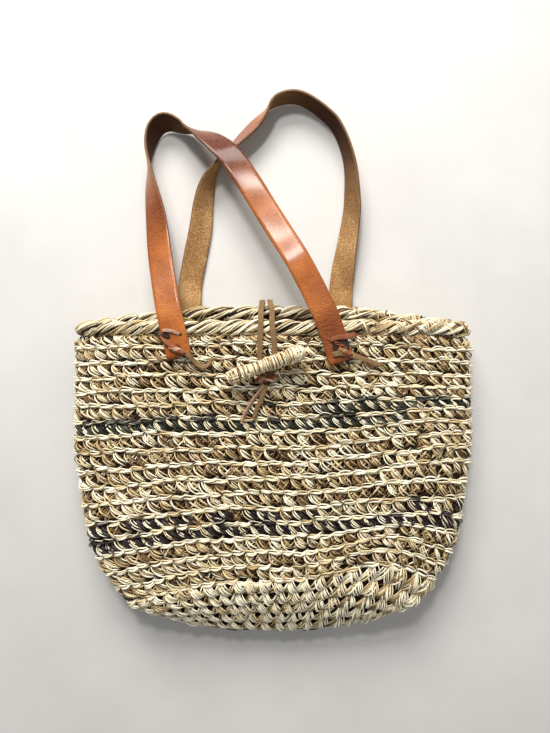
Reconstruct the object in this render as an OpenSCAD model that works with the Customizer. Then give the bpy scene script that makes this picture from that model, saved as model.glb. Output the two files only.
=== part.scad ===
// Crocheted beach tote with two leather strap handles and a toggle closure.
// The bag lies on its back: +X is to its right, +Y towards the mouth and handles,
// +Z up out of its front wall. The origin is under the middle of the whole outline.

/* [Bag] */
// Half of the bag's full width
bag_half_w = 187.5; // [160:0.5:225]
// Thickness of the crocheted wall
wall_t = 9; // [7:0.5:11]
// Height of the front wall over the flat back, at the rim
rim_h = 46; // [42:0.5:54]
// Extra height of the front wall at the fullest part of the belly
belly_h = 6; // [2:0.5:12]
// Distance between two crochet rounds
round_pitch = 13.5; // [11:0.25:15]
// Height of the rolled rope along the rim
rope_h = 17; // [13:0.5:20]
// How far the rope swells over the wall on its outside
rope_swell = 1.5; // [0.5:0.25:3]
// How much higher the back rim sits than the front rim
back_rise = 16; // [8:1:24]

/* [Straps] */
// Width of both leather straps
strap_w = 23; // [18:0.5:27]
// Thickness of both leather straps
strap_t = 2.5; // [1.5:0.25:3]
// Gap between a strap and the wall under it
strap_gap = 0.8; // [0.5:0.1:2]
// Gap at the line where a strap bends up over the rim
bend_gap = 0.4; // [0.3:0.1:1]

/* [Lacing] */
// Width of the flat suede lace
lace_w = 4.8; // [3.5:0.1:6]
// Thickness of the flat suede lace
lace_t = 1.6; // [1:0.1:2]
// Diameter of the lace where it passes through a punched hole
lace_d = 3; // [2:0.1:4]
// Clearance of the lace in its punched holes
hole_clear = 0.2; // [0.1:0.05:0.5]
// Distance across the strap between two punched holes
hole_span = 13; // [9:0.5:15]
// Distance along the strap between two punched holes
hole_step = 11; // [9:0.5:15]
// Distance from the strap's end to the first holes
hole_margin = 6; // [5:0.5:10]

/* [Toggle] */
// Length of the wound toggle
toggle_l = 74; // [55:1:90]
// Diameter of the wooden core
core_d = 8; // [6:0.5:10]
// Thickness of the raffia winding on the core
winding_t = 2.3; // [1.5:0.1:3]
// Extra thickness of the winding at the knotted end
end_swell = 1; // [0.5:0.1:2]
// Height of the toggle's axis over the front wall
toggle_rise = 14; // [12.5:0.25:18]
// Tilt of the resting toggle from the X axis
toggle_tilt = 19.7; // [0:0.1:40]
// Diameter of the cord stem that holds the toggle
stem_d = 4; // [3:0.25:5]
// Radial clearance of the stem in the wall
stem_clear = 0.1; // [0.05:0.05:0.5]

/* [Hidden] */

// Sections of the bag, as numbers of crochet rounds counted down from the rim
ROUND_CHARCOAL = 4;
ROUND_MIDDLE = 6;
ROUND_BROWN = 11;
ROUND_LOWER = 13;
ROUND_BASE = 16;
first_ridge_y = 14;
wall_top_y = 20;
function round_y(n) = first_ridge_y - n * round_pitch;

// Cross-section of the flattened bag
AROUND = 56;
SQUARENESS = 2.9;
flatten = 1.6;
base_l = 56;
fold_z = 9;

// Strap places: where each end lies, and where it bends over the rim
front_bend_y = 24;
back_bend_y = 56;
rope_facet = 0.35;
under_lace = 0.6;
lace_seat = 0.1;
groove_gap = 0.3;
front_strap_z = rim_h + rope_swell + strap_gap + strap_t / 2 + rope_facet;
back_strap_z = under_lace + lace_t + 2 * lace_seat + strap_t / 2;
groove_top = back_strap_z + strap_t / 2 + groove_gap;
groove_l = 60;
FRONT_LEFT = [[-90, 24], [-84.5, 1]];
FRONT_RIGHT = [[53.5, 24], [62.5, -3.5]];
BACK_LEFT = [[-83, 56], [-83, 16]];
BACK_RIGHT = [[67, 56], [67, 16]];

// Routes as [x, y, z, roll]: roll 0 has the grain side up, 90 stands the strap on its edge
edge_z = strap_w / 2 + 1;
FRONT_ROUTE = [[-90, 24, front_strap_z, 0], [-94.5, 43, front_strap_z - 1.5, 0], [-99.5, 66, 43, 2],
  [-106, 98, 33, 8], [-111.5, 134, 25, 26], [-118.5, 170, 19, 58], [-121.5, 198, 14, 86],
  [-118, 218, edge_z, 106], [-111.5, 228, edge_z, 112], [-104.5, 231, edge_z, 112],
  [-97.5, 230, edge_z, 106], [-90, 227, edge_z, 98], [-83, 224.5, edge_z + 1, 84],
  [-72, 219, 19, 58], [-56, 207, 26, 28], [-40, 190.5, 32.5, 10], [-21.5, 163, 35.5, 2],
  [-6.5, 138, 37.5, 0], [8, 114.5, 41, 0], [22, 91, 46.5, 0], [34, 68.5, 48, 0],
  [41.5, 53, front_strap_z - 0.4, 0], [47.5, 40, front_strap_z + 0.8, 0], [53.5, 24, front_strap_z, 0]];
BACK_ROUTE = [[-83, 56, back_strap_z, 180], [-82, 74, 3.2, 174], [-77.5, 98.5, 5.4, 164],
  [-71.5, 126.5, 7.7, 152], [-68.5, 149, 9.8, 138], [-65, 167, 11.4, 122], [-59.5, 181, edge_z, 100],
  [-50, 194.5, edge_z, 80], [-36, 210.5, 11.8, 58], [-19.5, 227.5, 11.4, 52], [-9, 239.5, 12, 64],
  [-2.5, 248, edge_z, 82], [5, 253, edge_z, 91], [16.5, 255.8, edge_z, 94], [27, 254.5, edge_z, 95],
  [38, 249, edge_z, 96], [50, 240, edge_z, 97], [60.5, 229.5, edge_z, 98], [68, 215, edge_z, 101],
  [73.5, 198, 12.4, 106], [76.5, 179.5, 12, 114], [77.5, 151, 11, 126], [76, 134, 10.4, 132],
  [72, 108, 9.2, 142], [69, 87, 6.4, 158], [67.4, 70, 3.6, 173], [67, 56, back_strap_z, 180]];

// Free ends of the laces, as [x, y, z]
TAIL_LEFT = [[-79, 6, 53.6], [-75.5, 2.5, 53.4], [-71.5, -2, 51.8], [-67.5, -6, 50.4],
  [-62.5, -7.5, 50], [-58, -5, 50.1], [-55.5, 0, 50.4]];
TAIL_RIGHT = [[69, 3.5, 53.2], [74, 2, 52.6], [80, 0, 51.4], [86, -2, 50.6], [92, -4.5, 50.2],
  [98, -6.5, 50]];
LOOP_LEFT = [[-8, -24, 51.2], [-12, -30, 51.4], [-17.5, -37, 51.5], [-22.5, -45, 51.7], [-26, -52, 51.8],
  [-28.5, -59, 52]];
LOOP_RIGHT = [[-6.5, -24.5, 51.2], [-8.5, -31, 51.4], [-11.5, -39, 51.5], [-15, -47, 51.8], [-17.5, -54, 52]];
tail_d = 3;

// Closure: lace runs over both rims to a knot below the toggle
stem_x = -6;
stem_y = -6;
run_left_x = -12;
run_right_x = 2;
knot_y = -19.5;
front_z = wall_top_z(round_y(2));
toggle_z = front_z + toggle_rise;
loop_start_y = 34;

// Sections across the flattened bag: [y in the middle, half width, top z, bottom z, drop of the ends]
function smooth(t) = t <= 0 ? 0 : t >= 1 ? 1 : t * t * (3 - 2 * t);
function wall_top_z(y) = rim_h + belly_h * smooth((wall_top_y - y) / 150);
function end_drop(n) = n < 5 ? 6 : 6 + 20 * smooth((n - 5) / 9);
function end_w(n) = bag_half_w - 14 * smooth((n - 6) / 7) - 35 * pow(max(0, n - 11) / 5, 1.7);
function wall_level(n) = [round_y(n), end_w(n), wall_top_z(round_y(n)) - 4.5 * smooth((n - 13) / 4),
  0, end_drop(n)];
RIM_LEVEL = [wall_top_y, bag_half_w, rim_h, 0, 6];
BASE_LEVELS = [for (i = [0:4]) let (t = i / 4) [round_y(ROUND_BASE) - base_l * t,
  end_w(ROUND_BASE) - 48 * pow(t, 1.2), wall_level(ROUND_BASE)[2] - 25.5 * pow(t, 1.5),
  fold_z * pow(t, 2), end_drop(ROUND_BASE) * (1 - t) - 9 * t]];

// One ring of points around the bag, moved inwards by `inset`
function signed_pow(v, e) = sign(v) * pow(abs(v), e);
function ring_y(level, side, across) =
  level[0] - level[4] * pow(abs(across), 2.2)
  + back_rise * smooth((level[0] + 60) / 80) * smooth((1 - side) / 2) * (1 - pow(abs(across), 2.4));
function ring(level, inset, dy = 0) =
  let (mid = (level[2] + level[3]) / 2, half = (level[2] - level[3]) / 2)
  [for (i = [0:AROUND - 1]) let (a = 360 * i / AROUND,
      across = signed_pow(cos(a), 2 / SQUARENESS), side = signed_pow(sin(a), 2 / SQUARENESS))
    [across * (level[1] - inset), ring_y(level, side, across) + dy,
      max(level[3] + max(inset, 0), mid - flatten * (side < 0 ? 1 : 0) + side * (half - inset))]];

// Faces between two rings that start at points p and q, and a fan over one ring
function band(p, q) = [for (i = [0:AROUND - 1]) let (j = (i + 1) % AROUND)
  each p < q ? [[p + i, q + i, q + j], [p + i, q + j, p + j]]
    : [[p + i, q + i, p + j], [q + i, q + j, p + j]]];
function fan(p, centre) = [for (i = [0:AROUND - 1]) [p + i, p + (i + 1) % AROUND, centre]];
function middle(points) = [for (k = [0:2]) let (v = [for (p = points) p[k]]) (min(v) + max(v)) / 2];

// A closed tube of the wall: outer rings upwards, then inner rings back down
module wall_section(outer, inner) {
  rings = concat(outer, [for (i = [len(inner) - 1:-1:0]) inner[i]]);
  count = len(rings);
  polyhedron(points = [for (r = rings) each r],
    faces = [for (k = [0:count - 1]) each band(k * AROUND, ((k + 1) % count) * AROUND)], convexity = 6);
}

// Sections between two crochet rounds, counted down from the rim
module rounds(first, last) {
  levels = [for (n = [last:-1:first]) n == 0 ? RIM_LEVEL : wall_level(n)];
  wall_section([for (l = levels) ring(l, 0)], [for (l = levels) ring(l, wall_t)]);
}

// A flat strap swept along a route; sections stay square to the route except at its cut ends
function between(r, i, t) = let (a = r[max(i - 1, 0)], b = r[i], c = r[i + 1], d = r[min(i + 2, len(r) - 1)])
  0.5 * (2 * b + (c - a) * t + (2 * a - 5 * b + 4 * c - d) * t * t + (3 * b - a - 3 * c + d) * t * t * t);
function finer(r, parts) =
  [for (i = [0:len(r) - 2]) for (k = [0:parts - 1]) between(r, i, k / parts), r[len(r) - 1]];
function unit(v) = v / norm(v);
function place(p) = [p[0], p[1], p[2]];
function heading(r, i) = unit(place(r[min(i + 1, len(r) - 1)]) - place(r[max(i - 1, 0)]));
function strap_corners(r, i, square_end) =
  let (t = square_end ? [0, 1, 0] : heading(r, i), flip = heading(r, i)[1] < 0 && square_end ? -1 : 1,
    h = flip * unit(cross(t, [0, 0, 1])), n = cross(h, square_end ? flip * t : t), roll = r[i][3],
    w = h * cos(roll) + n * sin(roll), up = n * cos(roll) - h * sin(roll))
  [for (c = [[-1, -1], [1, -1], [1, 1], [-1, 1]])
    place(r[i]) + w * c[0] * strap_w / 2 + up * c[1] * strap_t / 2];
module strap_along(route) {
  fine = finer(route, 3);
  last = len(fine) - 1;
  points = [for (i = [0:last]) each strap_corners(fine, i, i == 0 || i == last)];
  sides = [for (i = [0:last - 1]) for (k = [0:3]) let (a = 4 * i + k, b = 4 * i + (k + 1) % 4)
    each [[a, a + 4, b + 4], [a, b + 4, b]]];
  polyhedron(points = points,
    faces = concat(sides, [[0, 1, 2, 3]], [[for (k = [3:-1:0]) 4 * last + k]]), convexity = 8);
}

// A thin round tube along a route, eight-sided
TUBE_SIDES = 8;
module tube_along(route, d) {
  last = len(route) - 1;
  points = [for (i = [0:last]) let (t = heading(route, i), h = unit(cross(t, [0, 0, 1])), n = cross(h, t))
    for (k = [0:TUBE_SIDES - 1]) let (a = 360 * k / TUBE_SIDES) route[i] + d / 2 * (h * cos(a) + n * sin(a))];
  sides = [for (i = [0:last - 1]) for (k = [0:TUBE_SIDES - 1])
    let (a = TUBE_SIDES * i + k, b = TUBE_SIDES * i + (k + 1) % TUBE_SIDES)
    each [[a, a + TUBE_SIDES, b + TUBE_SIDES], [a, b + TUBE_SIDES, b]]];
  polyhedron(points = points, faces = concat(sides, [[for (k = [0:TUBE_SIDES - 1]) k]],
    [[for (k = [TUBE_SIDES - 1:-1:0]) TUBE_SIDES * last + k]]), convexity = 4);
}

// Places on a strap end: u runs across it, v up from its cut end
function end_length(e) = norm(e[0] - e[1]);
function end_angle(e) = atan2(e[0][1] - e[1][1], e[0][0] - e[1][0]) - 90;
module on_end(e) {
  translate(e[1]) rotate(end_angle(e)) children();
}
module at_holes() {
  for (u = [-1, 1], v = [0, 1]) translate([u * hole_span / 2, hole_margin + v * hole_step]) children();
}

// The laced end of a strap, cut along the bend line
module strap_end(e, z, bend_y) {
  a = end_angle(e);
  half = strap_w / 2;
  translate([0, 0, z - strap_t / 2]) difference() {
    linear_extrude(strap_t) difference() {
      on_end(e) translate([-half, 0]) square([strap_w, end_length(e) + half]);
      translate([e[0][0] - 2 * strap_w, bend_y - bend_gap]) square([4 * strap_w, 2 * strap_w]);
    }
    on_end(e) at_holes() translate([0, 0, -1]) cylinder(h = strap_t + 2, d = lace_d + 2 * hole_clear, $fn = 32);
  }
}

// Lacing of one strap end: two stitches on the strap, legs through strap and wall, two stitches inside
module lacing(e, z, inside_z, knotted) {
  side = inside_z < z ? -1 : 1;
  face = z - side * (strap_t / 2 + lace_seat);
  top = face - side * lace_t;
  leg_from = min(face - side * lace_t / 2, inside_z);
  leg_to = max(face - side * lace_t / 2, inside_z);
  on_end(e) {
    at_holes() translate([0, 0, leg_from]) cylinder(h = leg_to - leg_from, d = lace_d, $fn = 32);
    for (v = [0, 1]) translate([0, hole_margin + v * hole_step]) {
      stitch(min(face, top));
      stitch(inside_z - lace_t / 2);
    }
    if (knotted) translate([hole_span / 2 - 1, hole_margin, max(face, top) - 0.3]) lace_knot(7.5, 6, 3.2);
  }
}
module stitch(z) {
  translate([-(hole_span + lace_w) / 2, -lace_w / 2, z]) cube([hole_span + lace_w, lace_w, lace_t]);
}
module lace_knot(l, w, h) {
  translate([0, 0, h / 2]) resize([l, w, h]) sphere(d = 10, $fn = 20);
}

// Room under the back wall for the strap ends and the closure lace
module back_grooves() {
  for (e = [BACK_LEFT, BACK_RIGHT])
    translate([e[1][0] - strap_w / 2 - groove_gap, e[1][1] - 1, -1])
      cube([strap_w + 2 * groove_gap, groove_l, 1 + groove_top]);
  translate([run_left_x - lace_w / 2 - groove_gap, loop_start_y - lace_w / 2 - groove_gap, -1])
    cube([run_right_x - run_left_x + lace_w + 2 * groove_gap, groove_l,
      1 + under_lace + lace_t + groove_gap]);
}

module base_rounds() {
  color("burlywood") {
    outer = [for (i = [4:-1:0]) ring(BASE_LEVELS[i], 0)];
    inner = [for (i = [0:3]) ring(BASE_LEVELS[i], wall_t)];
    rings = concat(outer, inner);
    count = len(rings);
    polyhedron(points = concat([for (r = rings) each r], [middle(outer[0]), middle(inner[3])]),
      faces = concat([for (k = [0:count - 2]) each band(k * AROUND, (k + 1) * AROUND)],
        fan(0, count * AROUND),
        [for (f = fan((count - 1) * AROUND, count * AROUND + 1)) [f[1], f[0], f[2]]]), convexity = 6);
  }
}
module wall_lower() {
  color("burlywood") rounds(ROUND_LOWER, ROUND_BASE);
}
module stripe_brown() {
  color("#3b2a2a") rounds(ROUND_BROWN, ROUND_LOWER);
}
module wall_middle() {
  color("burlywood") rounds(ROUND_MIDDLE, ROUND_BROWN);
}
module stripe_charcoal() {
  color("#3f433b") rounds(ROUND_CHARCOAL, ROUND_MIDDLE);
}
module wall_upper() {
  color("burlywood") difference() {
    rounds(0, ROUND_CHARCOAL);
    back_grooves();
    translate([stem_x, stem_y, front_z - 2 * wall_t])
      cylinder(h = 3 * wall_t, d = stem_d + 2 * stem_clear, $fn = 48);
  }
}
module rim_rope() {
  // The rope's section: [height share, outward swell, inner inset]
  profile = [[0, 0, wall_t], [0.14, rope_swell * 0.7, wall_t + 2.5], [0.5, rope_swell, wall_t + 4],
    [0.86, rope_swell * 0.3, wall_t + 2.5], [1, -3.5, wall_t - 0.5]];
  color("wheat") difference() {
    wall_section([for (p = profile) ring(RIM_LEVEL, -p[1], p[0] * rope_h)],
      [for (p = profile) ring(RIM_LEVEL, p[2], p[0] * rope_h)]);
    back_grooves();
  }
}

module front_strap() {
  color("sienna") strap_along(FRONT_ROUTE);
}
module back_strap() {
  color("tan") strap_along(BACK_ROUTE);
}
module front_strap_end_left() {
  color("sienna") strap_end(FRONT_LEFT, front_strap_z, front_bend_y);
}
module front_strap_end_right() {
  color("sienna") strap_end(FRONT_RIGHT, front_strap_z, front_bend_y);
}
module back_strap_end_left() {
  color("tan") strap_end(BACK_LEFT, back_strap_z, back_bend_y);
}
module back_strap_end_right() {
  color("tan") strap_end(BACK_RIGHT, back_strap_z, back_bend_y);
}

module lacing_front_left() {
  color("peru") lacing(FRONT_LEFT, front_strap_z, rim_h - wall_t - lace_t, true);
}
module lacing_front_right() {
  color("peru") lacing(FRONT_RIGHT, front_strap_z, rim_h - wall_t - lace_t, true);
}
module lacing_back_left() {
  color("peru") lacing(BACK_LEFT, back_strap_z, wall_t + lace_t, false);
}
module lacing_back_right() {
  color("peru") lacing(BACK_RIGHT, back_strap_z, wall_t + lace_t, false);
}
module lacing_tail_left() {
  color("peru") tube_along(TAIL_LEFT, tail_d);
}
module lacing_tail_right() {
  color("peru") tube_along(TAIL_RIGHT, tail_d);
}

module closure_loop() {
  rope_top = rim_h + rope_swell + 2 * rope_facet;
  back_edge = wall_top_y + back_rise + rope_h + under_lace;
  rim_front_y = wall_top_y + rope_h;
  on_wall = front_z + under_lace;
  knot_lift = 0.8;
  lower = 19;
  // Outline of one run from the side: under the back rim, round it, up to the front rim and down to the knot
  outside = [[loop_start_y, under_lace], [back_edge, under_lace], [back_edge + lace_t, under_lace + 1.8],
    [back_edge + lace_t, lower], [rim_front_y + 1, rope_top - 2.5], [rim_front_y - 4, rope_top + lace_t],
    [stem_y, on_wall + lace_t], [knot_y, on_wall + knot_lift + lace_t]];
  inside = [[knot_y, on_wall + knot_lift], [stem_y, on_wall], [rim_front_y - 5, rope_top],
    [rim_front_y, rope_top - 4.5], [back_edge, lower - 0.5], [back_edge, under_lace + lace_t],
    [loop_start_y, under_lace + lace_t]];
  color("tan") {
    for (x = [run_left_x, run_right_x])
      translate([x + lace_w / 2, 0, 0]) rotate([90, 0, -90]) mirror([1, 0])
        linear_extrude(lace_w) polygon(concat(outside, inside));
    translate([run_left_x, loop_start_y - lace_w / 2, under_lace])
      cube([run_right_x - run_left_x, lace_w, lace_t]);
  }
}
module closure_knot() {
  middle_x = (run_left_x + run_right_x) / 2 - 1;
  color("sienna") translate([middle_x, knot_y - 2, front_z + under_lace + 0.2]) lace_knot(19, 8, 3 * lace_t);
}
module closure_tail_left() {
  color("rosybrown") tube_along(LOOP_LEFT, tail_d);
}
module closure_tail_right() {
  color("tan") tube_along(LOOP_RIGHT, tail_d);
}

module along_toggle() {
  translate([stem_x, stem_y, toggle_z]) rotate(toggle_tilt) rotate([0, 90, 0]) children();
}
module toggle_core() {
  color("saddlebrown") difference() {
    along_toggle() translate([0, 0, -toggle_l / 2 + winding_t])
      cylinder(h = toggle_l - 2 * winding_t, d = core_d, $fn = 48);
    stem_hole();
  }
}
module toggle_winding() {
  outer = core_d / 2 + winding_t;
  half = toggle_l / 2;
  color("wheat") difference() {
    along_toggle() rotate_extrude($fn = 64) polygon([[0, -half], [outer * 0.6, -half], [outer, -half + 3],
      [outer, half - 20], [outer + end_swell, half - 14], [outer + end_swell, half - 4],
      [outer * 0.6, half], [0, half], [0, half - winding_t], [core_d / 2, half - winding_t],
      [core_d / 2, -half + winding_t], [0, -half + winding_t]]);
    stem_hole();
  }
}
module stem_hole() {
  translate([stem_x, stem_y, toggle_z - core_d]) cylinder(h = 2 * core_d, d = stem_d, $fn = 48);
}
module toggle_stem() {
  inside = front_z - wall_t - 0.6;
  color("wheat") translate([stem_x, stem_y, 0]) {
    translate([0, 0, inside])
      cylinder(h = toggle_z + core_d / 2 + winding_t - 0.2 - inside, d = stem_d, $fn = 48);
    translate([0, 0, inside - 4]) cylinder(h = 4, d = 9, $fn = 48);
  }
}

base_rounds();
wall_lower();
stripe_brown();
wall_middle();
stripe_charcoal();
wall_upper();
rim_rope();
front_strap();
back_strap();
front_strap_end_left();
front_strap_end_right();
back_strap_end_left();
back_strap_end_right();
lacing_front_left();
lacing_front_right();
lacing_back_left();
lacing_back_right();
lacing_tail_left();
lacing_tail_right();
closure_loop();
closure_knot();
closure_tail_left();
closure_tail_right();
toggle_core();
toggle_winding();
toggle_stem();
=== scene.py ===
"""Crocheted beach tote with leather straps and a toggle, lying on its back on a pale floor.

Every strand of the crochet is a short tube laid on the bag's surface. The surface follows the
CAD wall: sections across a flattened bag, from the rim down to the folded base.
Lengths are in millimetres until a mesh is made; the frame itself is in metres.
"""
import math
from collections import defaultdict, namedtuple

import bpy
import numpy as np
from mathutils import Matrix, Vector


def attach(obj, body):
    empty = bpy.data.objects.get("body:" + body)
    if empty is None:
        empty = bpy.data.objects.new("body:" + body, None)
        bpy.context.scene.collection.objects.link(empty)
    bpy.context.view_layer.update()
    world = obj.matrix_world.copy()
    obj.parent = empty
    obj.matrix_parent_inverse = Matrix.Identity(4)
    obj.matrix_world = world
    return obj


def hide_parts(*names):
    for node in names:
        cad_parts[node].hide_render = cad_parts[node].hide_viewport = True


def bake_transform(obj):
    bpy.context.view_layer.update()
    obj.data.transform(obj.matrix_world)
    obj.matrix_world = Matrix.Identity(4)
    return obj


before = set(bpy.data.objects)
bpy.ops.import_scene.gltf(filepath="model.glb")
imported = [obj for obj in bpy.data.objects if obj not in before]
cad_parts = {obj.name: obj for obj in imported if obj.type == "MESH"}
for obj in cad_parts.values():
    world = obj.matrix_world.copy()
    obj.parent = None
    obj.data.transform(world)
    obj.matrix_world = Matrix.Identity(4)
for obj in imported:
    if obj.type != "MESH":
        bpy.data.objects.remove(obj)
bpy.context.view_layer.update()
MM = 0.001
UP = np.array([0, 0, 1.0])
rng = np.random.default_rng(7)

# ---------------------------------------------------------------- camera and light

CAMERA_AT = (0.0019, -0.0074, 0.529)
FOCAL = 26.0
LONG_SIDE = 36.0


def add_object(name, data):
    added = bpy.data.objects.new(name, data)
    bpy.context.collection.objects.link(added)
    return added


def make_camera():
    data = bpy.data.cameras.new("camera")
    data.lens = FOCAL
    data.sensor_width = LONG_SIDE
    data.sensor_fit = "AUTO"
    data.clip_start = 0.01
    camera = add_object("camera", data)
    camera.location = CAMERA_AT
    bpy.context.scene.camera = camera


def make_area_light(name, at, aim, size, power, colour):
    data = bpy.data.lights.new(name, "AREA")
    data.shape = "RECTANGLE"
    data.size, data.size_y = size
    data.energy = power
    data.color = colour
    light = add_object(name, data)
    light.location = at
    direction = np.array(aim, float) - np.array(at, float)
    light.rotation_euler = Vector(direction).to_track_quat("-Z", "Y").to_euler()


def make_world(strength, colour):
    world = bpy.data.worlds.new("studio")
    world.use_nodes = True
    background = world.node_tree.nodes["Background"]
    background.inputs["Color"].default_value = (*colour, 1)
    background.inputs["Strength"].default_value = strength
    bpy.context.scene.world = world


# ---------------------------------------------------------------- materials

# Sockets of the Mix node when it mixes colours
MIX_FACTOR, MIX_A, MIX_B, MIX_RESULT = 0, 6, 7, 2


class Graph:
    """A material's node tree. Values are numbers, colours or other nodes' outputs."""

    def __init__(self, name):
        self.material = bpy.data.materials.new(name)
        self.material.use_nodes = True
        self.tree = self.material.node_tree

    def feed(self, socket, value):
        if isinstance(value, bpy.types.NodeSocket):
            self.tree.links.new(value, socket)
        elif isinstance(value, tuple) and socket.type == "RGBA":
            socket.default_value = (*value, 1)
        else:
            socket.default_value = value

    def node(self, kind, inputs, **settings):
        node = self.tree.nodes.new("ShaderNode" + kind)
        for name, value in settings.items():
            setattr(node, name, value)
        for socket, value in inputs.items():
            self.feed(node.inputs[socket], value)
        return node

    def surface(self, **inputs):
        shader = self.tree.nodes["Principled BSDF"]
        names = {"colour": "Base Color", "rough": "Roughness", "specular": "Specular IOR Level",
                 "specular_tint": "Specular Tint", "coat": "Coat Weight",
                 "coat_rough": "Coat Roughness", "normal": "Normal"}
        for name, value in inputs.items():
            self.feed(shader.inputs[names[name]], value)
        return self.material

    def place(self):
        return self.node("TexCoord", {}).outputs["Object"]

    def strand_uv(self):
        return self.node("UVMap", {}, uv_map="Strand").outputs["UV"]

    def attribute(self, name):
        return self.node("Attribute", {}, attribute_name=name).outputs["Fac"]

    def math(self, operation, a, b):
        return self.node("Math", {0: a, 1: b}, operation=operation).outputs[0]

    def add(self, a, b):
        return self.math("ADD", a, b)

    def minus(self, a, b):
        return self.math("SUBTRACT", a, b)

    def times(self, a, b):
        return self.math("MULTIPLY", a, b)

    def stretched(self, vector, scale):
        return self.node("VectorMath", {0: vector, 1: scale}, operation="MULTIPLY").outputs[0]

    def noise(self, vector, scale, detail, rough):
        inputs = {"Vector": vector, "Scale": scale, "Detail": detail, "Roughness": rough}
        return self.node("TexNoise", inputs).outputs["Fac"]

    def ramp(self, factor, stops):
        node = self.node("ValToRGB", {"Fac": factor})
        elements = node.color_ramp.elements
        while len(elements) < len(stops):
            elements.new(0.5)
        for element, (at, colour) in zip(elements, stops):
            element.position = at
            element.color = (*colour, 1)
        return node.outputs["Color"]

    def mixed(self, factor, a, b, blend="MIX"):
        node = self.node("Mix", {}, data_type="RGBA", blend_type=blend)
        for socket, value in ((MIX_FACTOR, factor), (MIX_A, a), (MIX_B, b)):
            self.feed(node.inputs[socket], value)
        return node.outputs[MIX_RESULT]

    def bump(self, height, strength, distance):
        inputs = {"Strength": strength, "Distance": distance, "Height": height}
        return self.node("Bump", inputs).outputs["Normal"]


def straw_material(name, stops, groove_shade_colour):
    """Plant fibre: tone per strand, streaks that run along it with painted shade in their grooves, a dull
    sheen.
    """
    g = Graph(name)
    uv = g.strand_uv()
    streak = g.noise(g.stretched(uv, (0.10, 3.4, 1)), 1.0, 4, 0.7)
    fine = g.noise(g.stretched(uv, (0.35, 9.0, 1)), 1.0, 2, 0.6)
    fibre = g.add(g.times(streak, 0.75), g.times(fine, 0.35))
    shade = g.add(g.attribute("tone"), g.times(g.minus(fibre, 0.55), 0.9))
    # Painted shade: the streaks go darker where the fibre bump is low, in its grooves, on top of their own
    # colour.
    streak_groove_shade = g.ramp(fibre, [(0.30, groove_shade_colour), (0.46, (1, 1, 1))])
    colour = g.mixed(1.0, g.ramp(shade, stops), streak_groove_shade, "MULTIPLY")
    return g.surface(colour=colour, rough=0.5, specular=0.35, normal=g.bump(fibre, 0.55, 0.0006))


def leather_material():
    """Strap leather: creased tan grain on one face, fuzzy flesh on the other, pale cut edges. Shade is
    painted into the grain's creases and onto the flesh inside the standing arcs.
    """
    g = Graph("strap_leather")
    place, grain_side, crease = g.place(), g.attribute("grain"), g.attribute("crease")
    cloud = g.noise(place, 26, 4, 0.6)
    pores = g.noise(place, 900, 3, 0.6)
    fuzz = g.noise(place, 620, 5, 0.75)
    wrinkle = g.noise(g.stretched(g.strand_uv(), (0.42, 0.22, 1)), 1.0, 5, 0.7)
    tan = g.ramp(cloud, [(0.3, (0.25, 0.058, 0.007)), (0.5, (0.39, 0.105, 0.013)),
                         (0.7, (0.54, 0.170, 0.028))])
    # Painted shade: in the creased zones the grain goes nearly black where the wrinkle bump is low, most
    # over the twist.
    folded = g.times(crease, g.minus(1.45, wrinkle))
    grain = g.mixed(g.times(folded, 0.90), tan, (0.075, 0.010, 0.006))
    suede = g.ramp(g.add(g.times(fuzz, 0.6), g.times(cloud, 0.4)),
                   [(0.36, (0.15, 0.066, 0.022)), (0.5, (0.35, 0.185, 0.070)),
                    (0.62, (0.62, 0.38, 0.17))])
    # Painted shade: the strap's tone darkens the flesh side inside the standing arcs, which face away from
    # the light.
    flesh = g.mixed(g.attribute("tone"), suede, (0.055, 0.020, 0.009))
    faces = g.mixed(grain_side, flesh, grain)
    colour = g.mixed(g.attribute("edge"), faces, (0.17, 0.095, 0.048))
    rough = g.node("MapRange", {"Value": grain_side, "To Min": 0.85, "To Max": 0.33}).outputs[0]
    height = g.add(g.times(pores, 0.75), g.times(g.times(wrinkle, crease), 3.6))
    return g.surface(colour=colour, rough=rough, specular=0.28, specular_tint=(1.0, 0.80, 0.66),
                     coat=g.times(grain_side, 0.34), coat_rough=0.17,
                     normal=g.bump(height, 0.75, 0.0009))


def lace_material(name, light, dark):
    """Suede thong: matt and fibrous; a negative tone darkens a whole thong."""
    g = Graph(name)
    place = g.place()
    fuzz = g.noise(place, 700, 5, 0.75)
    cloud = g.noise(place, 60, 3, 0.6)
    shade = g.add(g.times(fuzz, 0.5), g.add(g.times(cloud, 0.4), g.attribute("tone")))
    return g.surface(colour=g.ramp(shade, [(0.3, dark), (0.75, light)]), rough=0.8, specular=0.3,
                     normal=g.bump(fuzz, 0.35, 0.0004))


def felt_material():
    """Matted fibre between the strands, with knobs where the stitches press through."""
    g = Graph("straw_core")
    fibre = g.noise(g.stretched(g.place(), (1, 2.2, 2.2)), 380, 4, 0.7)
    shade = g.add(g.attribute("tone"), g.times(g.minus(fibre, 0.5), 0.5))
    return g.surface(colour=g.ramp(shade, NATURAL), rough=0.8, normal=g.bump(fibre, 0.6, 0.001))


def wood_material():
    g = Graph("toggle_wood")
    rings = g.noise(g.stretched(g.place(), (40, 300, 300)), 1.0, 4, 0.6)
    colour = g.ramp(rings, [(0.3, (0.16, 0.08, 0.035)), (0.7, (0.34, 0.19, 0.09))])
    return g.surface(colour=colour, rough=0.6)


def floor_material():
    g = Graph("pale_floor")
    cloud = g.noise(g.place(), 9, 4, 0.6)
    colour = g.ramp(cloud, [(0.3, (0.60, 0.585, 0.56)), (0.7, (0.66, 0.645, 0.62))])
    return g.surface(colour=colour, rough=0.75)


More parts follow.
